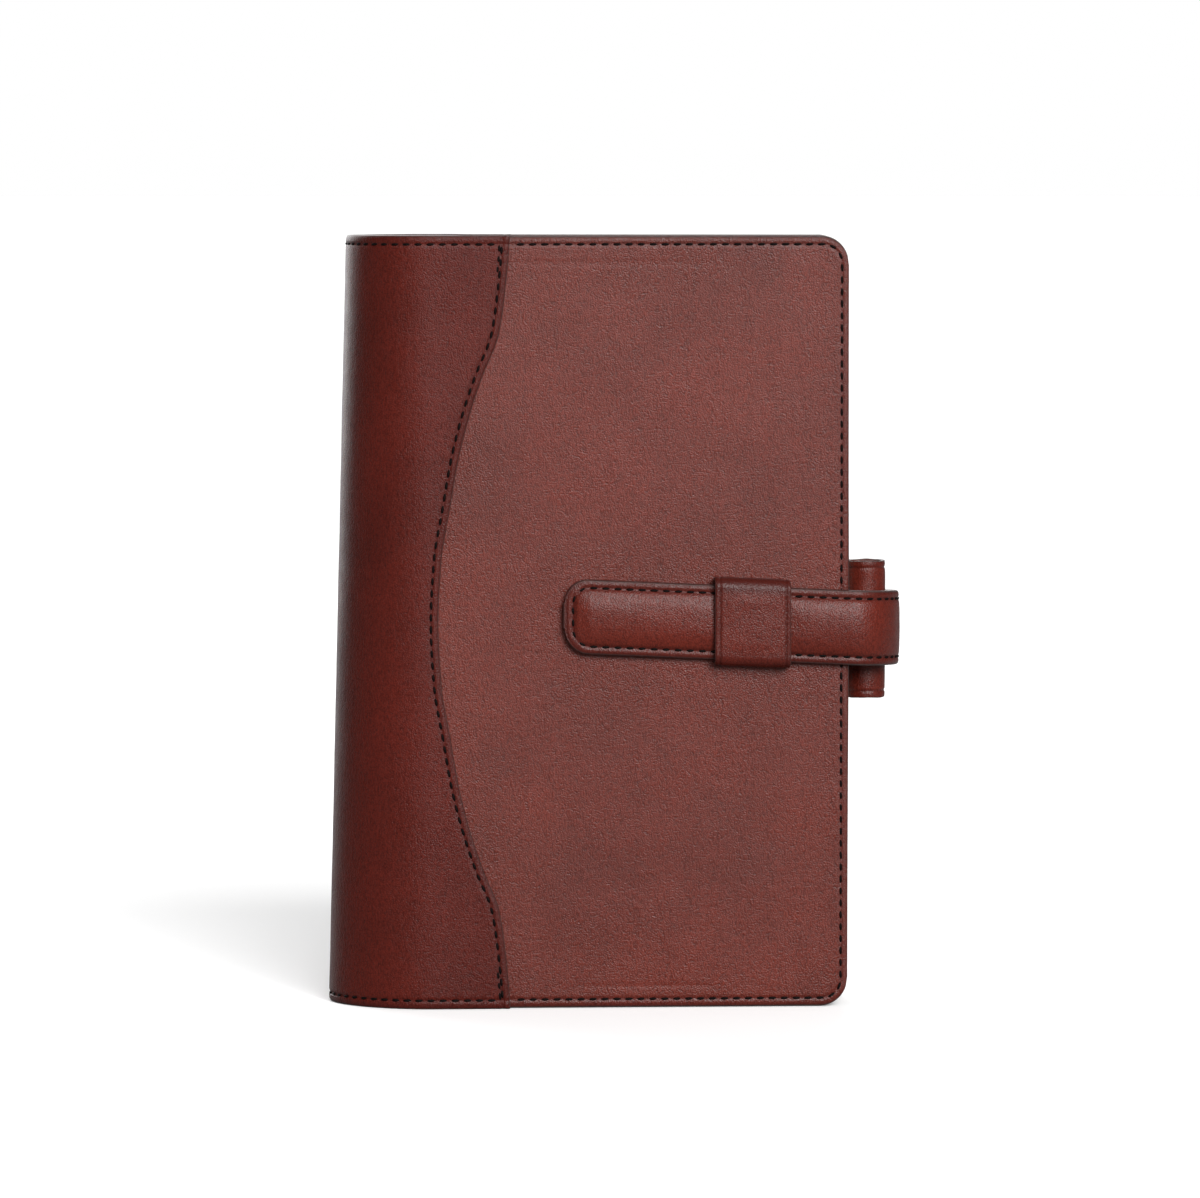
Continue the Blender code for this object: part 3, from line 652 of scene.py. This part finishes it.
def cover_stitching(prefix, side):
    """Stitches round the panel, along the spine's ends and along the seam."""
    corner = CORNER - MARGIN
    end, low, high = S_END - MARGIN, MARGIN, HEIGHT - MARGIN
    start = seam(high) + 1.2 * MM
    quarter = np.linspace(0, math.pi / 2, 14)
    s = np.concatenate([np.linspace(start, end - corner, 60), end - corner + corner * np.sin(quarter),
                        np.full(80, end), end - corner + corner * np.cos(quarter),
                        np.linspace(end - corner, start, 60)])
    z = np.concatenate([np.full(60, high), high - corner + corner * np.cos(quarter),
                        np.linspace(high - corner, low + corner, 80),
                        low + corner - corner * np.sin(quarter), np.full(60, low)])
    panel = stitches(prefix + "_panel_stitches", [line_on_wall(side * s, z, PANEL_T + THREAD_SINK)], thread)
    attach(panel, prefix + "_cover")

    z = np.linspace(low, high, 200)
    runs = [line_on_wall(side * (seam(z) - SEAM_MARGIN), z, THREAD_SINK)]
    tack = 9.5 * MM                                             # length of the doubled row at each end
    for first, last in ((2.0 * MM, tack), (HEIGHT - tack, HEIGHT - 2.0 * MM)):
        z = np.linspace(first, last, 20)
        runs.append(line_on_wall(side * (seam(z) - SEAM_MARGIN - 0.62 * MM), z, THREAD_SINK))
    for height in (low, high):
        last = float(seam(height)) - SEAM_MARGIN - 1.2 * MM
        s = np.linspace(0.5 * STITCH_PITCH, last, 120)
        runs.append(line_on_wall(side * s, np.full(120, height), THREAD_SINK))
    seam_line = stitches(prefix + "_seam_stitches", runs, thread)
    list(hinge_line(side))
    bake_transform(seam_line)


for prefix, side in (("front", 1.0), ("back", -1.0)):
    cover_body(prefix, side)
    overlay(prefix, side)
    cover_stitching(prefix, side)


# ------------------------------------------------------------ strap and keeper

def strap_line():
    """Reference points along the strap: point, outward normal, and distance from the tip."""
    tip = s_at(STRAP_TIP)
    s = np.concatenate([tip + STRAP_CORNER * (1 - np.cos(np.linspace(0, math.pi / 2, 24))),
                        np.linspace(tip + STRAP_CORNER, S_END, 150)[1:]])
    points, normals, _ = profile(s)
    # from the front's fore edge half way round the bend, and then the same mirrored
    start = profile(np.array([S_END]))[0][0]
    apex = np.array((LEFT + BEND_APEX, 0.0, 0.0))
    p = [start, start + BEND_PULL[0] * np.array((math.cos(TAPER), math.sin(TAPER), 0.0)),
         apex - np.array((0.0, BEND_PULL[1], 0.0)), apex]
    k = np.linspace(0, 1, 35)[1:, None]
    half = (1 - k) ** 3 * p[0] + 3 * (1 - k) ** 2 * k * p[1] + 3 * (1 - k) * k**2 * p[2] + k**3 * p[3]
    tangent = (1 - k) ** 2 * (p[1] - p[0]) + 2 * (1 - k) * k * (p[2] - p[1]) + k**2 * (p[3] - p[2])
    tangent /= np.linalg.norm(tangent, axis=1, keepdims=True)
    normal = np.stack([tangent[:, 1], -tangent[:, 0], 0 * tangent[:, 0]], -1)
    mirror = np.array((1.0, -1.0, 1.0))
    back, back_normal, _ = profile(np.linspace(-S_END, -s_at(ANCHOR_START), 60))
    points = np.concatenate([points, half, half[-2::-1] * mirror, back])
    normals = np.concatenate([normals, normal, normal[-2::-1] * mirror, back_normal])
    travelled = np.concatenate([[0], np.cumsum(np.linalg.norm(np.diff(points, axis=0), axis=1))])
    keep = np.concatenate([[True], np.diff(travelled) > 1e-6])
    return points[keep], normals[keep], travelled[keep]


def strap():
    """The padded strap, from its tip round the fore edge to its sewn end, with its stitches."""
    point, normal, run = strap_line()
    length = s_at(FORE_EDGE) - s_at(STRAP_TIP)
    total = run[-1]
    across = spaced([-1.0, -0.68, 0.68, 1.0], [0.03, 0.035, 0.03])
    half = (STRAP_WIDTH / 2 - STRAP_RIM
            - corner_inset(np.maximum(run - STRAP_RIM * 0.2, 0), STRAP_CORNER - STRAP_RIM))
    w = half[:, None] * across[None]
    to_side = STRAP_WIDTH / 2 - np.abs(w)
    to_tip = run[:, None] + 0 * w
    a, b = STRAP_CORNER - to_tip, STRAP_CORNER - to_side
    edge = np.where((a > 0) & (b > 0), STRAP_CORNER - np.hypot(np.maximum(a, 0), np.maximum(b, 0)),
                    np.minimum(to_tip, to_side))
    from_rim = np.maximum(edge - STRAP_RIM, 0)
    past = run - length
    bend = np.clip(past / (19 * MM), 0, 1)[:, None]             # the padding flattens round the bend
    near_end = np.minimum(1.0, (total - run) / (8 * MM))[:, None]
    reach = STRAP_WIDTH / 2 - STRAP_MARGIN
    dome = np.clip(1 - (np.abs(w) / reach) ** 2.6, 0, 1) * np.clip((to_tip - STRAP_MARGIN) / (4 * MM), 0, 1) ** 0.7
    x = point[:, 0][:, None] - LEFT
    front = (normal[:, 1] < -0.5)[:, None]
    under_keeper = np.exp(-(((x - (KEEPER_NEAR + KEEPER_FAR) / 2) / (11 * MM)) ** 4)) * front
    rise = PAD_RISE * dome * (1 - 0.85 * bend) * (1 - 0.42 * under_keeper)
    flat = point[:, None] + normal[:, None] * 1.0 * MM
    flat = flat + np.stack([0 * w, 0 * w, w], -1)
    ripples = 0.06 * MM * waves(flat * np.array((0.30, 1.0, 1.5)), 9 * MM, 31, 2) * dome * near_end
    relief = -groove(edge - STRAP_MARGIN, 0.26 * MM, 0.5 * MM) - 0.22 * MM * fade(from_rim, 0.35 * MM)
    height = -STRAP_OUTER_T + rise + ripples + relief
    depth = -STRAP_INNER_T + 0.1 * MM * fade(from_rim, 0.4 * MM)
    z = STRAP_HEIGHT - STRAP_DROOP * past[:, None] + w
    up = np.stack([0 * w, 0 * w, z], -1)
    outer = point[:, None] + normal[:, None] * height[..., None] + up
    inner = point[:, None] + normal[:, None] * depth[..., None] + up
    # darker burnished margins, and painted shade in the stitch grooves
    wear_and_shade = np.clip(fade(from_rim, 0.9 * MM) + groove(edge - STRAP_MARGIN, 0.6, 0.6 * MM), 0, 1)
    obj = layer("strap_leather", outer, inner, [strap_leather, paint, lining_leather],
                bulge=0.42, wear_and_shade=wear_and_shade, rim=8)
    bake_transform(obj)
    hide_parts("strap_outer", "strap_lining", "strap_padding", "strap_anchor")

    # one row of stitches down each side, joined round the tip, and one across the sewn end
    corner = STRAP_CORNER - STRAP_MARGIN

    def strip(run_at, w_at):
        p = np.stack([np.interp(run_at, run, point[:, c]) for c in range(3)], -1)
        n = np.stack([np.interp(run_at, run, normal[:, c]) for c in range(3)], -1)
        n /= np.linalg.norm(n, axis=1, keepdims=True)
        p = p + n * (-STRAP_OUTER_T - 0.22 * MM)
        p[:, 2] = STRAP_HEIGHT - STRAP_DROOP * (run_at - length) + w_at
        return p, n

    quarter = np.linspace(0, math.pi / 2, 12)
    end_run = total - 2.4 * MM
    along = np.concatenate([np.linspace(end_run, STRAP_MARGIN + corner, 200),
                            STRAP_MARGIN + corner * (1 - np.sin(quarter)), np.full(10, STRAP_MARGIN),
                            STRAP_MARGIN + corner * (1 - np.cos(quarter)),
                            np.linspace(STRAP_MARGIN + corner, end_run, 200)])
    side = np.concatenate([np.full(200, reach), reach - corner * (1 - np.cos(quarter)),
                           np.linspace(reach - corner, corner - reach, 10),
                           corner - reach - corner * np.sin(quarter), np.full(200, -reach)])
    last_row = np.linspace(-reach + 1.5 * MM, reach - 1.5 * MM, 20)
    line = stitches("strap_stitches", [strip(along, side), strip(np.full(20, end_run), last_row)], thread)
    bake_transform(line)


def keeper():
    """The arch over the strap: thin leather with a creased line beside each of its cut edges."""
    half, foot = KEEPER_HEIGHT / 2, 2.3 * MM
    drop = foot - KEEPER_CROWN - KEEPER_ROUND
    bend = KEEPER_ROUND * math.pi / 2
    total = 2 * (drop + bend) + 2 * (half - KEEPER_ROUND)
    along = np.concatenate([np.linspace(0, drop, 8), drop + np.linspace(0, bend, 14)[1:]])
    along = np.concatenate([along, np.linspace(along[-1], total / 2, 26)[1:]])
    along = np.concatenate([along, total - along[-2::-1]])
    m = np.minimum(along, total - along)
    a = np.clip((m - drop) / KEEPER_ROUND, 0, math.pi / 2)
    beyond = np.maximum(m - drop - bend, 0)
    z = -half + KEEPER_ROUND * (1 - np.cos(a)) + beyond
    t = foot - np.minimum(m, drop) - KEEPER_ROUND * np.sin(a)
    side = np.where(along > total / 2, -1.0, 1.0)
    outward = np.stack([-np.cos(a), np.sin(a)], -1)          # (down, out) at each place on the arch
    across = spaced([0.0, 0.12, 0.88, 1.0], [0.012, 0.03, 0.012])
    middle = s_at((KEEPER_NEAR + KEEPER_FAR) / 2)
    rim = 0.25 * MM
    near, far = s_at(KEEPER_NEAR), s_at(KEEPER_FAR)
    s, along2 = np.meshgrid(near + rim + (far - near - 2 * rim) * across, along, indexing="ij")
    to_edge = np.minimum(s - near, far - s)
    from_rim, to_crease = np.maximum(to_edge - rim, 0), to_edge - KEEPER_CREASE
    crease = groove(to_crease, 0.22 * MM, 0.30 * MM) + 0.2 * MM * fade(from_rim, 0.3 * MM)
    crown = 0.22 * MM * np.sin(math.pi / 2 * np.clip((to_edge - 1.4 * MM) / (8 * MM), 0, 1))
    crown = crown * np.clip(beyond[None] / (3 * MM), 0, 1)
    ripple = 0.04 * MM * waves(np.stack([s, 0 * s, along2], -1), 9 * MM, 41, 2)

    def face(lift):
        skew = STRAP_DROOP * (s - middle)
        return wall(s, KEEPER_MIDDLE + side * (z + outward[:, 0] * lift) - skew, t - outward[:, 1] * lift)

    outer, inner = face(crown + ripple - crease), face(-0.95 * MM)
    # darker burnished margins, painted shade in the creased lines, and painted shade on the two rolls where the
    # keeper turns over, fuller on the upper one
    painted_roll_shade = (1 - np.clip(beyond[None] / (1.6 * MM), 0, 1)) * np.where(side > 0, 0.45, 1.0)[None]
    wear_and_shade = np.clip(fade(from_rim, 0.6 * MM) + groove(to_crease, 0.7, 0.35 * MM) + painted_roll_shade, 0, 1)
    obj = layer("keeper_leather", outer, inner, [strap_leather, paint, lining_leather], wear_and_shade=wear_and_shade)
    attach(obj, "front_cover")
    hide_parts("keeper")


strap()
keeper()


# ------------------------------------------------------------ pen loop

def pen_loop():
    """A rolled strip with creased ends, its tab sewn inside the back cover."""
    low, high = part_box("pen_loop")
    radius, thick = 5.0 * MM, 1.05 * MM
    cx, cy = high.x - radius, low.y + radius
    begin = math.radians(104)
    angle = begin - np.linspace(0, math.radians(338), 90)
    tab = np.linspace(1, 0, 16)[:-1]
    tab_start = cy + radius * math.sin(begin)
    tab_x = np.interp(tab, (0, 1), (cx + radius * math.cos(begin), low.x))
    tab_y = tab_start + (6.1 * MM - tab_start) * tab**1.5
    x = np.concatenate([tab_x, cx + radius * np.cos(angle)])
    y = np.concatenate([tab_y, cy + radius * np.sin(angle)])
    tangent = np.stack([np.gradient(x), np.gradient(y)], -1)
    tangent /= np.linalg.norm(tangent, axis=1, keepdims=True)
    rim = 0.2 * MM
    share = spaced([0.0, 0.1, 0.9, 1.0], [0.008, 0.02, 0.008])
    x2, z2 = np.meshgrid(x, low.z + rim + (high.z - low.z - 2 * rim) * share, indexing="ij")
    y2 = y[:, None] + 0 * z2
    to_end = np.minimum(z2 - low.z, high.z - z2)
    to_crease = to_end - 1.7 * MM
    ragged = 0.12 * MM * waves(np.stack([x2, y2, 0 * z2], -1), 6 * MM, 51, 2) * fade(to_end, 2 * MM)
    dip = groove(to_crease, 0.24 * MM, 0.32 * MM) + 0.15 * MM * fade(to_end, 0.4 * MM)
    soft = 0.08 * MM * waves(np.stack([x2, y2, z2], -1), 9 * MM, 52, 2)

    def face(offset):
        return np.stack([x2 - tangent[:, 1:] * offset, y2 + tangent[:, :1] * offset, z2 + ragged], -1)

    # darker burnished margins, and painted shade in the creased lines
    wear_and_shade = np.clip(fade(to_end, 0.7 * MM) + groove(to_crease, 0.6, 0.4 * MM), 0, 1)
    obj = layer("pen_loop_leather", face(soft - dip - 0.1 * MM), face(-thick),
                [strap_leather, paint, lining_leather], wear_and_shade=wear_and_shade)
    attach(obj, "back_cover")
    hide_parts("pen_loop")


pen_loop()


# ------------------------------------------------------------ ring mechanism, leaves, pockets

def ring_set(prefix, side):
    """Half of the mechanism: six bent wires on a thin rounded blade."""
    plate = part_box("ring_plate")[1].x
    y2, z2 = np.meshgrid(side * -np.linspace(BLADE_INNER, BLADE_OUTER, 14),
                         np.linspace(MIDDLE - BLADE_REACH, MIDDLE + BLADE_REACH, 60), indexing="ij")
    across = (np.abs(y2) - (BLADE_INNER + BLADE_OUTER) / 2) / (BLADE_OUTER - BLADE_INNER)
    under = plate + 0.3 * MM + 0 * y2
    face = under + BLADE_THICK - BLADE_DOME + BLADE_DOME * np.cos(across * math.pi)
    blade = layer(prefix + "_ring_blade", np.stack([face, y2, z2], -1), np.stack([under, y2, z2], -1),
                  [nickel] * 3, bulge=0.3)
    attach(blade, prefix + "_rings")
    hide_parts(prefix + "_ring_set")
    a = np.linspace(RING_START, math.pi - 0.010, 48)
    for number, height in enumerate(RING_HEIGHTS):
        line = np.stack([plate + 10.5 * MM - RING_RADIUS * np.cos(a), -side * RING_RADIUS * np.sin(a),
                         0 * a + MIDDLE + height], -1)
        wire = tube(f"{prefix}_ring_{number + 1}", line, RING_WIRE, nickel)
        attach(wire, prefix + "_rings")


ring_set("front", 1.0)
ring_set("back", -1.0)

CARRIED_OVER = {
    paper: ("front_pages", "back_pages"),
    nickel: ("ring_plate", "plate_rivet_top", "plate_rivet_bottom"),
    lining_leather: ("front_pocket", "back_pocket", "card_pocket_top", "card_pocket_middle", "card_pocket_bottom"),
}
for made, names in CARRIED_OVER.items():
    for name in names:
        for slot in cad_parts[name].material_slots:
            slot.material = made


# ------------------------------------------------------------ stage, lights, camera

def link_object(name, data, place=(0, 0, 0), rotation=(0, 0, 0)):
    obj = bpy.data.objects.new(name, data)
    obj.location, obj.rotation_euler = place, rotation
    bpy.context.scene.collection.objects.link(obj)
    return obj


def seen_or_lighting(tree, lighting, seen, output):
    """One shader for what the camera sees directly, and another for the light that it gives."""
    choose = node(tree, "ShaderNodeMixShader")
    is_camera = node(tree, "ShaderNodeLightPath").outputs["Is Camera Ray"]
    for k, source in enumerate((is_camera, lighting.outputs[0], seen.outputs[0])):
        tree.links.new(source, choose.inputs[k])
    tree.links.new(choose.outputs[0], tree.nodes[output].inputs["Surface"])


def area_light(name, place, aim, size, power):
    data = bpy.data.lights.new(name, "AREA")
    data.shape, data.size, data.size_y, data.energy = "RECTANGLE", size[0], size[1], power
    link_object(name, data, place, (Vector(aim) - Vector(place)).to_track_quat("-Z", "Y").to_euler())


def soft_sun(name, towards, strength, spread):
    data = bpy.data.lights.new(name, "SUN")
    data.energy, data.angle = strength, math.radians(spread)
    link_object(name, data, rotation=Vector(towards).to_track_quat("Z", "Y").to_euler())


def stage():
    """A white floor and backdrop, soft lights, and the camera."""
    r = FLOOR_REACH
    floor_mesh = bpy.data.meshes.new("floor")
    floor_mesh.from_pydata([(-r, -r, 0), (r, -r, 0), (r, r, 0), (-r, r, 0)], [], [(0, 1, 2, 3)])
    floor = link_object("floor", floor_mesh)
    m, tree, shader = new_material("pale_floor", (0.90, 0.90, 0.90), 0.9)
    shader.inputs["Specular IOR Level"].default_value = 0.1
    shader.inputs["Emission Color"].default_value = (1, 1, 1, 1)
    shader.inputs["Emission Strength"].default_value = 0.12
    # seen directly it is white, but it throws little light back up
    dim = node(tree, "ShaderNodeBsdfDiffuse", {"Color": (0.30, 0.30, 0.30, 1)})
    seen_or_lighting(tree, dim, shader, "Material Output")
    floor_mesh.materials.append(m)

    # a dim room seen in reflections, behind a plain white background
    world = bpy.data.worlds.new("studio")
    bpy.context.scene.world = world
    world.use_nodes = True
    tree = world.node_tree
    room = tree.nodes["Background"]
    room.inputs["Color"].default_value, room.inputs["Strength"].default_value = (1, 1, 1, 1), 0.16
    backdrop = node(tree, "ShaderNodeBackground", {"Color": (1, 1, 1, 1), "Strength": 1.0})
    seen_or_lighting(tree, room, backdrop, "World Output")
    bpy.context.scene.view_settings.view_transform = "Standard"

    soft_sun("key", (0.32, -1.0, 0.55), 3.7, 36)
    soft_sun("ceiling", (0.0, 0.15, 1.0), 0.45, 120)
    area_light("side_box", (0.42, -0.85, 0.42), (0, 0, 0.1), (0.35, 0.35), 4.6)
    soft_sun("back_fill", (-0.40, 1.0, 0.50), 2.0, 60)
    area_light("behind", (-0.75, 1.3, 0.5), (0, 0, 0.1), (0.5, 0.9), 4.0)

    camera = bpy.data.cameras.new("camera")
    camera.lens, camera.sensor_width = 199.2, 36.0
    bpy.context.scene.camera = link_object("camera", camera, (-3.4 * MM, -1.624, 205.0 * MM),
                                           (math.radians(90 - 3.742), 0, 0))


stage()
